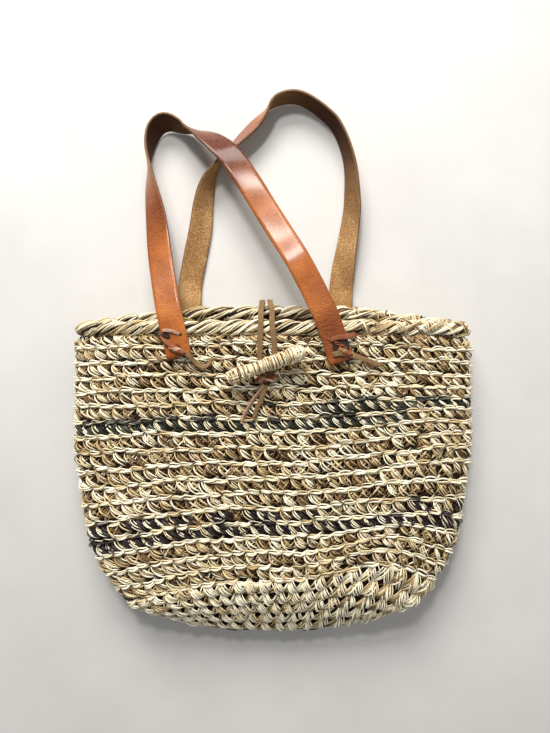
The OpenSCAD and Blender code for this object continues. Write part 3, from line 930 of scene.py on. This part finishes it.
def ribbon(name, route, width, thick, material, wobble=0.0, crease=0.0, tone=0.0, across=9,
           widths=1.0):
    """A flat band along [x, y, z, roll]; crease and tone may be functions of the way along it."""
    centre, side, up = ribbon_frames(route)
    outline, kinds = ribbon_profile(width, thick, across)
    steps = np.linalg.norm(np.diff(centre, axis=0), axis=1)
    distance = np.concatenate([[0], np.cumsum(steps)])
    scale = np.ones(len(centre)) * widths
    points = (centre[:, None] + side[:, None] * outline[None, :, :1] * scale[:, None, None]
              + up[:, None] * outline[None, :, 1:])
    if wobble:
        across_wave = np.cos(outline[:, :1] * 0.11 + distance / 47)
        ripple = wobble * np.sin(distance / 31 + 1.3) * across_wave
        points = points + up[:, None] * ripple.T[..., None]

    def ring_values(value):
        return value(distance / distance[-1])[:, None] if callable(value) else value

    values = {"grain": kinds[None, :, 0], "edge": kinds[None, :, 1],
              "crease": ring_values(crease), "tone": ring_values(tone)}
    attributes = {label: np.broadcast_to(v, points.shape[:2]) for label, v in values.items()}
    return grid_mesh(name, points, material, attributes, distance)


# ---------------------------------------------------------------- routes, as in the CAD

STRAP_W = 23.0
STRAP_T = 2.5
LACE_W = 4.8
LACE_T = 1.3
FRONT_Z = 49.9
BACK_Z = 3.65
EDGE_Z = STRAP_W / 2 + 1
FRONT_ROUTE = [
    (-84.5, 1, FRONT_Z, 0), (-87.2, 12, FRONT_Z, 0), (-90, 24, FRONT_Z, 0), (-94.5, 43, FRONT_Z - 1.5, 0),
    (-99.5, 66, 43, 2), (-106, 98, 33, 8), (-111.5, 134, 25, 26), (-118.5, 170, 19, 58),
    (-121.5, 198, 14, 86), (-118, 218, EDGE_Z, 106), (-111.5, 228, EDGE_Z, 112), (-104.5, 231, EDGE_Z, 112),
    (-97.5, 230, EDGE_Z, 106), (-90, 227, EDGE_Z, 98), (-83, 224.5, EDGE_Z + 1, 84), (-72, 219, 19, 58),
    (-56, 207, 26, 28), (-40, 190.5, 32.5, 10), (-21.5, 163, 35.5, 2), (-6.5, 138, 37.5, 0),
    (8, 114.5, 41, 0), (22, 91, 46.5, 0), (34, 68.5, 48, 0), (41.5, 53, FRONT_Z - 0.4, 0),
    (47.5, 40, FRONT_Z + 0.8, 0), (53.5, 24, FRONT_Z, 0), (58, 10, FRONT_Z, 0), (62.5, -3.5, FRONT_Z, 0)]
BACK_ROUTE = [
    (-83, 16, BACK_Z, 180), (-83, 36, BACK_Z, 180), (-83, 56, BACK_Z, 180), (-82, 74, 3.2, 174),
    (-77.5, 98.5, 5.4, 164), (-71.5, 126.5, 7.7, 152), (-68.5, 149, 9.8, 138), (-65, 167, 11.4, 122),
    (-59.5, 181, EDGE_Z, 100), (-50, 194.5, EDGE_Z, 80), (-36, 210.5, 11.8, 58), (-19.5, 227.5, 11.4, 52),
    (-9, 239.5, 12, 64), (-2.5, 248, EDGE_Z, 82), (5, 253, EDGE_Z, 91), (16.5, 255.8, EDGE_Z, 94),
    (27, 254.5, EDGE_Z, 95), (38, 249, EDGE_Z, 96), (50, 240, EDGE_Z, 97), (60.5, 229.5, EDGE_Z, 98),
    (68, 215, EDGE_Z, 101), (73.5, 198, 12.4, 106), (76.5, 179.5, 12, 114), (77.5, 151, 11, 126),
    (76, 134, 10.4, 132), (72, 108, 9.2, 142), (69, 87, 6.4, 158), (67.4, 70, 3.6, 173),
    (67, 56, BACK_Z, 180), (67, 36, BACK_Z, 180), (67, 16, BACK_Z, 180)]
TAIL_LEFT = [(-79, 6, 53.6), (-75.5, 2.5, 53.4), (-71.5, -2, 51.8), (-67.5, -6, 50.4),
             (-62.5, -7.5, 50), (-58, -5, 50.1), (-55.5, 0, 50.4)]
TAIL_RIGHT = [(69, 3.5, 53.2), (74, 2, 52.6), (80, 0, 51.4), (86, -2, 50.6), (92, -4.5, 50.2),
              (98, -6.5, 50)]
LOOP_LEFT = [(-8, -24, 51.2), (-12, -30, 51.4), (-17.5, -37, 51.5), (-22.5, -45, 51.7),
             (-26, -52, 51.8), (-28.5, -59, 52)]
LOOP_RIGHT = [(-6.5, -24.5, 51.2), (-8.5, -31, 51.4), (-11.5, -39, 51.5), (-15, -47, 51.8),
              (-17.5, -54, 52)]



# ---------------------------------------------------------------- building


def dress(piece, body, slot, *nodes):
    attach(piece, body)
    if nodes:
        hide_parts(*nodes)
    return piece


def make_core():
    """The felted heart of the wall, between the outer and inner strands; its outer face is painted
    near-black as the shade seen in the gaps.
    """
    columns = 420
    q = np.arange(columns) / columns
    rings, tones = [], []
    # Painted shade: the outer face, seen through the gaps between strands, is near-black (tone 0.02).
    for m in np.arange(-257.0, 24.0, 6.0):
        rings.append(on_bag(np.full(columns, m), q, 5.4))
        tones.append(np.full(columns, 0.02))
    for m in np.arange(22.0, -238.0, -2.6):
        row = (FIRST_RIDGE_Y - m) / PITCH
        stitches = np.sin(2 * math.pi * (70 * q + 0.4 * np.floor(row)))
        knob = 0.9 * np.abs(np.sin(math.pi * row)) + 0.7 * stitches
        rings.append(on_bag(np.full(columns, m), q, WALL_T - 1.0 - knob * 0.8))
        tones.append(0.42 + 0.10 * knob)
    points = np.array(rings)
    points[..., 2] = np.maximum(points[..., 2], lowest(points[..., 0], points[..., 1]) + 0.5)
    return grid_mesh("wall_core", points, felt_material(), {"tone": np.array(tones)})


def make_bag():
    yarns = defaultdict(Strands)
    crochet_wall(yarns)
    crochet_base(yarns)
    base_fold(yarns["base_rounds", "natural", 2])
    materials = {"natural": STRAW, "charcoal": STRAW_CHARCOAL, "brown": STRAW_BROWN}
    slots = {"natural": "sisal_natural", "charcoal": "sisal_charcoal", "brown": "sisal_brown"}
    for (place, yarn, part), strands in yarns.items():
        if strands.batches:
            piece = strands.build(f"{place}_{yarn}_yarn_{part}", materials[yarn])
            dress(piece, "bag", slots[yarn], place)
    dress(make_core(), "bag", "sisal_natural", "wall_upper")


def make_rope():
    yarn = wrap_rope(pitch=11.4, per_bundle=7, advance=56.0, radius=0.64, tone=0.80, lift=0.1,
                     gap=1.28)
    dress(yarn.build("rim_rope_yarn", STRAW), "bag", "sisal_natural", "rim_rope")
    # Painted shade: near-black strands deep in the rope, seen in the gaps between its bundles.
    heart = wrap_rope(pitch=8.0, per_bundle=5, advance=46.0, radius=1.0, tone=0.06, lift=-2.2,
                      gap=1.7, mess=0.5)
    dress(heart.build("rim_rope_painted_shade", STRAW), "bag", "sisal_natural", "rim_rope")
    crossing = wrap_rope(pitch=15.0, per_bundle=5, advance=-40.0, radius=0.62, tone=0.62, lift=0.6,
                         gap=1.5, mess=0.3, beyond=RIGHT_CROSSING_X)
    dress(crossing.build("rim_rope_crossing", STRAW), "bag", "sisal_natural", "rim_rope")


STRAP_STEP = 3.0
STRAP_WOBBLE = 0.35


def near(t, centre, width):
    """1 at `centre` along the strap, falling to 0 on both sides."""
    return np.exp(-(((t - centre) / width) ** 2))


# How creased each strap is along its length: this drives the wrinkle bump and the painted crease shade.
def front_creases(t):
    folds = near(t, 0.565, 0.085) + 0.40 * near(t, 0.95, 0.05) + 0.45 * near(t, 0.27, 0.06)
    return np.clip(folds + 0.16, 0, 1)


def back_creases(t):
    return np.clip(0.4 * near(t, 0.35, 0.08) + 0.3 * near(t, 0.48, 0.06) + 0.20, 0, 1)


def make_straps():
    # Each strap's tone is painted shade on its flesh side, darkest inside its standing arc.
    front = ribbon("front_strap_leather", spline(FRONT_ROUTE, STRAP_STEP), STRAP_W, STRAP_T,
                   LEATHER, STRAP_WOBBLE, front_creases, lambda t: near(t, 0.42, 0.12))
    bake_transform(front)
    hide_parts("front_strap", "front_strap_end_left", "front_strap_end_right")
    back = ribbon("back_strap_leather", spline(BACK_ROUTE, STRAP_STEP), STRAP_W, STRAP_T,
                  LEATHER, STRAP_WOBBLE, back_creases, lambda t: near(t, 0.60, 0.16))
    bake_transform(back)
    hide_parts("back_strap", "back_strap_end_left", "back_strap_end_right")


def lace(name, points, material=LACE, width=LACE_W, thick=LACE_T, tone=0.0, nodes=(), step=1.2):
    """A flat thong along [x, y, z, roll] points."""
    piece = ribbon(name, spline(points, step), width, thick, material, tone=tone, across=5)
    return dress(piece, "bag", "lace_suede", *nodes)


def twisted(name, start, end, radius, turns, phase, material, width, nodes=(), tone=0.0):
    """A thong twisting round the line from start to end, with its face turned outwards."""
    start, end = np.array(start, float), np.array(end, float)
    side = unit(np.cross(end - start, UP))
    points = []
    for t in np.linspace(0, 1, 13):
        roll = phase + 360 * turns * t
        reach = radius * (0.55 + 0.45 * arch(t))
        out = UP * math.cos(math.radians(roll)) - side * math.sin(math.radians(roll))
        points.append((*(start + (end - start) * t + out * reach), roll))
    return lace(name, points, material, width, 1.2, tone, nodes, step=0.8)


def knot(name, start, end, radius, turns, width, thongs, nodes=(), tone=0.0):
    """Thongs twisted round each other; `thongs` gives each one's material and phase."""
    for k, (material, phase) in enumerate(thongs):
        twisted(f"{name}_{k}", start, end, radius, turns, phase, material, width, nodes, tone)


def hole_shade_plate(name, centre, half, turn, squareness=2.0):
    """Painted shade for the dark mouth of a punched hole or slit: a thin rounded dark plate let into the
    strap.
    """
    a = np.linspace(0, 2 * math.pi, 40, endpoint=False)
    outline = np.stack([half[0] * signed_pow(np.cos(a), 2 / squareness),
                        half[1] * signed_pow(np.sin(a), 2 / squareness)], -1)
    turn = math.radians(turn)
    spin = np.array([[math.cos(turn), math.sin(turn)], [-math.sin(turn), math.cos(turn)]])
    layers = []
    for size, height in ((0.9, -0.5), (1.0, -0.1), (0.96, 0.12), (0.3, 0.14)):
        flat = (outline * size) @ spin
        layers.append(np.column_stack([flat, np.full(len(a), height)]) + np.array(centre))
    tones = np.zeros((len(layers), len(a)))
    dress(grid_mesh(name, np.array(layers), HOLE_SHADE, {"tone": tones}), "bag", "leather_tan")


def make_front_lacing():
    skin = FRONT_Z + STRAP_T / 2 + STRAP_WOBBLE
    top = FRONT_Z + STRAP_T / 2 + LACE_T / 2
    # Painted shade: dark plates where the strap's slit and holes show.
    hole_shade_plate("slit_left", (-96.4, 20.3, skin), (4.6, 2.9), -34)
    hole_shade_plate("hole_left", (-83.6, 21.6, skin), (1.5, 1.5), 0)
    hole_shade_plate("opening_right", (61.4, 10.8, skin), (7.6, 5.0), 8, 5.0)
    lace("stitch_left_upper",
         [(-102.5, 24.5, 46, 10), (-101, 24.8, 48.5, 10), (-97.5, 25.2, top + 0.6, 0),
          (-91, 24.6, top + 1.1, -8), (-86, 22.4, top + 0.2, 0), (-83.6, 20.6, top - 2.2, 0)],
         LACE_PALE, 3.0, nodes=("lacing_front_left",))
    lace("stitch_left_lower",
         [(-101.5, 20.5, 46.5, 10), (-100, 19.0, 49.5, 30), (-96.5, 15.2, top + 0.9, 36),
          (-91.5, 11.0, top + 1.3, 30), (-87.5, 8.2, top + 1.6, 20), (-83, 5.2, top + 1.0, 0)],
         LACE_RED, 4.2)
    knot("knot_left", (-92.4, 10.4, top + 1.4), (-79.2, 4.2, top + 1.2), 2.3, 0.85, 3.6,
         ((LACE_RED, 0), (LACE_RED, 130), (LACE_PALE, 245)))
    twisted("knot_left_over", (-87.6, 13.2, top + 1.6), (-83.6, 1.8, top + 1.2), 2.9, 0.45, 60,
            LACE_RED, 3.2)
    lace("stitch_right_upper",
         [(51.2, 15.0, top - 1.9, 0), (52.3, 16.4, top + 0.3, 0), (57.5, 18.6, top + 1.0, -6),
          (65, 19.4, top + 1.1, 0), (70.8, 20.9, top + 0.4, 10), (74.2, 22.0, 47.5, 20),
          (75.4, 22.2, 45.5, 20)],
         LACE_RED, 4.2, nodes=("lacing_front_right",))
    lace("stitch_right_lower",
         [(53.6, 3.2, top - 1.8, 0), (55.2, 3.6, top + 0.6, 0), (59.6, 4.4, top + 1.4, -14),
          (64, 4.4, top + 1.8, -10), (68, 3.7, top + 1.4, 0)], LACE, 4.8)
    knot("knot_right", (59.2, 8.4, top + 1.0), (70.4, 3.0, top + 1.2), 2.1, 0.8, 3.4,
         ((LACE_RED, 20), (LACE_RED, 150), (LACE, 265)))
    # Painted shade: these loops are darkened (tone -0.18) where they lie over the shadowed opening.
    knot("loop_right", (55.6, 14.4, top - 0.2), (67.0, 8.6, top + 0.2), 1.2, 1.0, 2.4,
         ((LACE_RED, 0), (LACE_RED, 180)), tone=-0.18)


def make_back_lacing():
    low = BACK_Z - STRAP_T / 2 - LACE_T / 2
    for side, x in zip(("left", "right"), BACK_STRAP_X):
        for k, y in enumerate((22.0, 33.0)):
            lace(f"stitch_back_{side}_{k}",
                 [(x - 8.5, y, low + 1.6, 0), (x - 6.5, y, low, 0), (x, y, low - 0.1, 0),
                  (x + 6.5, y, low, 0), (x + 8.5, y, low + 1.6, 0)],
                 nodes=(f"lacing_back_{side}",))


def free_lace(name, points, width, material, node, roll_from, roll_to):
    """The free end of a lace: a cord whose tip narrows."""
    last = len(points) - 1
    rolled = [(*p, roll_from + (roll_to - roll_from) * i / last) for i, p in enumerate(points)]
    route = spline(rolled, 0.9)
    tip = 1 - 0.45 * smooth((np.linspace(0, 1, len(route)) - 0.86) / 0.14)
    piece = ribbon(name, route, width, LACE_T, material, across=5, widths=tip)
    dress(piece, "bag", "lace_suede", node)
    path = route[:, :3] * MM
    tuple(float(v) * MM for v in points[0])


def make_tails():
    free_lace("tail_left", TAIL_LEFT, 4.2, LACE, "lacing_tail_left", 0, 40)
    free_lace("tail_right", TAIL_RIGHT, 4.6, LACE, "lacing_tail_right", 10, -10)
    free_lace("closure_tail_left_lace", LOOP_LEFT, 3.4, LACE_PALE, "closure_tail_left", 40, 55)
    free_lace("closure_tail_right_lace", LOOP_RIGHT, 4.0, LACE, "closure_tail_right", 0, 25)


def make_closure():
    over_rim = 49.2
    for name, far_x, near_x, knot_x in (("left", -10.5, -11.8, -8.2), ("right", -2.8, 1.2, -3.6)):
        half_x = (far_x + near_x) / 2
        lace(f"closure_run_{name}",
             [(far_x, 34, 1.3, 0), (far_x, 44, 1.3, 0), (far_x, 52.5, 1.5, 0),
              (far_x, 56.8, 5.4, 0), (far_x, 57.2, 12, 0), (far_x, 54.6, 21, 0),
              (half_x, 45, 37, 0), (half_x, 38.5, 46, 0), (half_x, 31, over_rim, 0),
              (near_x, 14, over_rim + 0.4, 0), (near_x, -4, over_rim + 0.5, 0),
              ((near_x + knot_x) / 2, -12, over_rim + 0.9, 0), (knot_x, -19, over_rim + 1.3, 0)],
             LACE, 5.0, tone=-0.08, nodes=("closure_loop",))
    lace("closure_bight", [(-10.5, 34, 2.6, 0), (-6.6, 32.5, 2.6, 0), (-2.8, 34, 2.6, 0)])
    knot_z = over_rim + 1.0
    knot("closure_knot", (-15.6, -20.4, knot_z), (3.0, -16.6, knot_z), 3.0, 1.25, 3.6,
         ((LACE_RED, 0), (LACE_RED, 125), (LACE_PALE, 240)), ("closure_knot",))
    twisted("closure_knot_over", (-11.6, -13.8, knot_z), (-5.2, -24.6, knot_z), 3.1, 0.5, 40,
            LACE_RED, 3.8)
    lace("closure_knot_edge",
         [(-10.5, -17.4, knot_z + 3.0, 20), (-5, -19.2, knot_z + 3.5, 10),
          (1.0, -20.4, knot_z + 3.0, -10)], LACE_PALE, 1.7, 0.9, 0.2)


# ---------------------------------------------------------------- toggle

TOGGLE_HALF = 37.0
TOGGLE_TILT = math.radians(19.7)
TOGGLE_AXIS = np.array([math.cos(TOGGLE_TILT), math.sin(TOGGLE_TILT), 0.0])
TOGGLE_SIDE = np.array([-TOGGLE_AXIS[1], TOGGLE_AXIS[0], 0.0])
TOGGLE_CENTRE = np.array([*STEM, TOGGLE_Z])
RAFFIA_FLAT = 0.62


def toggle_radius(s):
    """Radius of the winding s mm from its middle: thicker at the right, rounded at both ends."""
    body = 5.6 + 0.25 * np.sin(s / 6.1) + 0.9 * smooth((s - TOGGLE_HALF + 24) / 10)
    past_left = np.maximum(-TOGGLE_HALF + 5 - s, 0) / 5.4
    past_right = np.maximum(s - TOGGLE_HALF + 7, 0) / 7.4
    for past in (past_left, past_right):
        body = body * np.sqrt(np.clip(1 - past ** 2, 0.02, 1))
    return body


def wind(strands, s, sweep, slant, slant_spread, radius, lift, tone):
    """Raffia round the toggle: a strand at each s, turning through `sweep` radians."""
    count = len(s)
    start = spread(count, 0, 6.28)[:, None]
    slant = rng.normal(slant, slant_spread, count)[:, None]
    t = np.linspace(0, 1, 22)
    a = start + sweep * t
    along = s[:, None] + slant * np.sin(a + 0.4) + 1.4 * (t - 0.5)
    r = toggle_radius(along) + lift + 0.12 * np.sin(5 * a)
    normal = TOGGLE_SIDE * np.cos(a)[..., None] + UP * np.sin(a)[..., None]
    centres = TOGGLE_CENTRE + TOGGLE_AXIS * along[..., None] + normal * r[..., None]
    radius = radius * taper(t, 0.7) * np.exp(rng.normal(0, 0.12, (count, 1)))
    tone = tone + rng.normal(0, 0.2, (count, 1))
    strands.add(centres, radius, tone, RAFFIA_FLAT, normal, clamp=False)


def cover_end(strands, end, count):
    """Strands over the left (-1) or right (1) end of the toggle, leaning every way."""
    t = np.linspace(0, 1, 16)
    lean = spread(count, 0, math.pi)[:, None, None]
    reach = spread(count, 4, 12)[:, None]
    b = (t[None] - 0.5) * math.pi * 1.06
    side = np.cos(lean) * TOGGLE_SIDE + np.sin(lean) * UP
    other = -np.sin(lean) * TOGGLE_SIDE + np.cos(lean) * UP
    shoulder = TOGGLE_HALF - 9.0
    r = toggle_radius(np.array(end * shoulder)) + 0.5
    off = spread(count, -0.35, 0.35)[:, None] * r
    dome = (8.6 - 0.4 * np.abs(off)) * np.maximum(np.cos(b), 0) ** 0.7
    depth = end * (shoulder + dome - reach * (np.abs(b) > 1.5) * 0.3)
    swing = np.sin(b) * np.sqrt(np.maximum(r ** 2 - off ** 2, 1))
    centres = (TOGGLE_CENTRE + TOGGLE_AXIS * depth[..., None] + side * swing[..., None]
               + other * off[..., None])
    normal = unit(centres - (TOGGLE_CENTRE + TOGGLE_AXIS * end * shoulder))
    tone = 0.8 + rng.normal(0, 0.1, (count, 1))
    strands.add(centres, 0.8 * taper(t, 0.5) * np.ones((count, 1)), tone, RAFFIA_FLAT, normal,
                clamp=False)


def make_toggle():
    winding = Strands()
    s = np.arange(-TOGGLE_HALF + 0.8, TOGGLE_HALF - 0.6, 1.1)
    s = s + rng.normal(0, 0.16, len(s))
    wind(winding, s, 6.6, 0.5, 0.55, 0.52, 0.1, 0.68)
    wind(winding, spread(26, -TOGGLE_HALF + 4, TOGGLE_HALF - 10), 3.4, 2.6, 1.4, 0.50, 0.50, 0.80)
    wind(winding, spread(16, TOGGLE_HALF - 15, TOGGLE_HALF - 4), 4.5, 5.5, 2.0, 0.58, 0.55, 0.80)
    cover_end(winding, 1, 12)
    cover_end(winding, -1, 7)
    dress(winding.build("toggle_raffia", STRAW), "toggle", "raffia_winding", "toggle_winding")
    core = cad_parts["toggle_core"]
    core.data.materials.clear()
    core.data.materials.append(wood_material())


def make_stem():
    """Three cords twisted up to the toggle, and the turns of the stop knot inside the bag."""
    stem = Strands()
    rings = 24
    foot, head = 34, TOGGLE_Z - 3
    t = np.linspace(0, 1, rings)
    for k in range(3):
        a = 2 * math.pi * k / 3 + 7.5 * t
        centres = np.stack([STEM[0] + 1.05 * np.cos(a), STEM[1] + 1.05 * np.sin(a),
                            foot + (head - foot) * t], -1)[None]
        stem.add(centres, 0.95 * np.ones((1, rings)), 0.55, 1.0, (1.0, 0, 0), clamp=False)
    a = np.linspace(0, 2 * math.pi, rings)
    for k in range(3):
        lean = k * 2.1
        centres = np.stack([STEM[0] + 3.2 * np.cos(a + lean), STEM[1] + 3.2 * np.sin(a + lean),
                            35.2 + 0.9 * np.sin(2 * a + lean) - 0.5 * k], -1)[None]
        stem.add(centres, 1.1 * np.ones((1, rings)), 0.5, 0.9, clamp=False)
    dress(stem.build("toggle_stem_cord", STRAW), "toggle", "raffia_winding", "toggle_stem")


def make_floor():
    size = 6.0
    corners = [(-size, -size, 0), (size, -size, 0), (size, size, 0), (-size, size, 0)]
    mesh = bpy.data.meshes.new("floor")
    mesh.from_pydata(corners, [], [(0, 1, 2, 3)])
    mesh.materials.append(floor_material())
    add_object("floor", mesh)


make_camera()
make_tails()
make_floor()
make_bag()
make_rope()
make_straps()
make_front_lacing()
make_back_lacing()
make_closure()
make_toggle()
make_stem()
make_world(0.24, (0.96, 0.975, 1.0))
make_area_light("window", (-0.25, 1.45, 1.0), (0, 0, 0), (1.1, 0.7), 45, (1.0, 0.98, 0.94))
make_area_light("glare", (-0.14, 0.71, 1.03), (0.02, 0.1, 0), (0.20, 0.14), 6.0, (1.0, 0.99, 0.97))
make_area_light("fill", (0.9, -0.9, 1.3), (0, 0, 0), (1.2, 1.2), 4, (0.97, 0.98, 1.0))
bpy.context.scene.view_settings.view_transform = "Standard"
